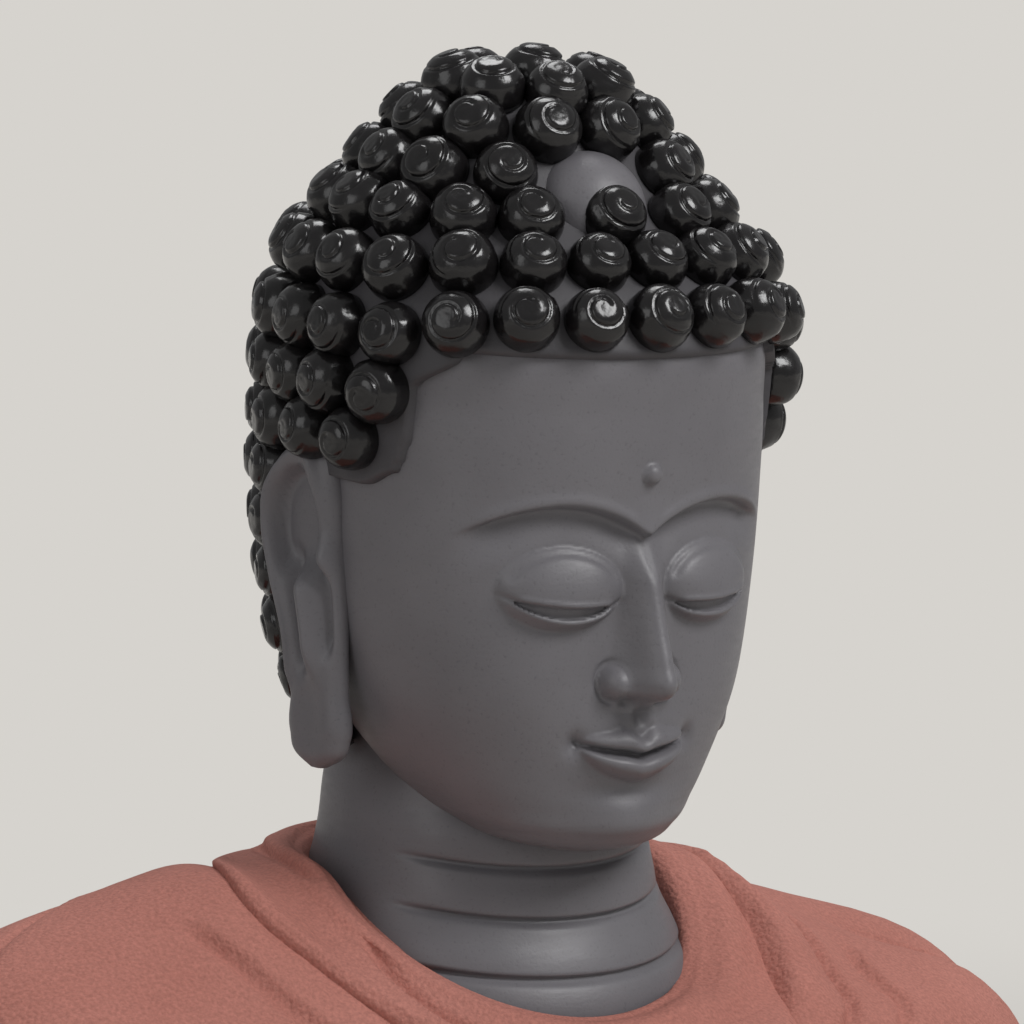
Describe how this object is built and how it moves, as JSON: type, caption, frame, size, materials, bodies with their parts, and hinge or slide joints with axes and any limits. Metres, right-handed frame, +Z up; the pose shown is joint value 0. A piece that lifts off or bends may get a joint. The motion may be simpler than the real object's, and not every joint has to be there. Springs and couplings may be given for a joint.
{
  "type": "seated ceramic buddha figure",
  "caption": "Seated figure in fired clay with a bare jewel among snail curls, long ears and a draped robe, hollow and open underneath, resting on a flat foot rim.",
  "frame": {"origin": "centre of the bottom of the figure's bounding box, in the plane of its foot rim", "axes": "+Z up, the figure faces -Y, +X is the figure's left-hand side"},
  "size_m": [0.2034, 0.1108, 0.2609],
  "materials": {
    "dark_clay": "burnished dark fired clay, satin",
    "hair_glaze": "near-black glaze, glossy",
    "robe_slip": "coarse terracotta slip, grainy and matte"
  },
  "bodies": {
    "root": {"statue": "dark_clay"}
  },
  "joints": []
}
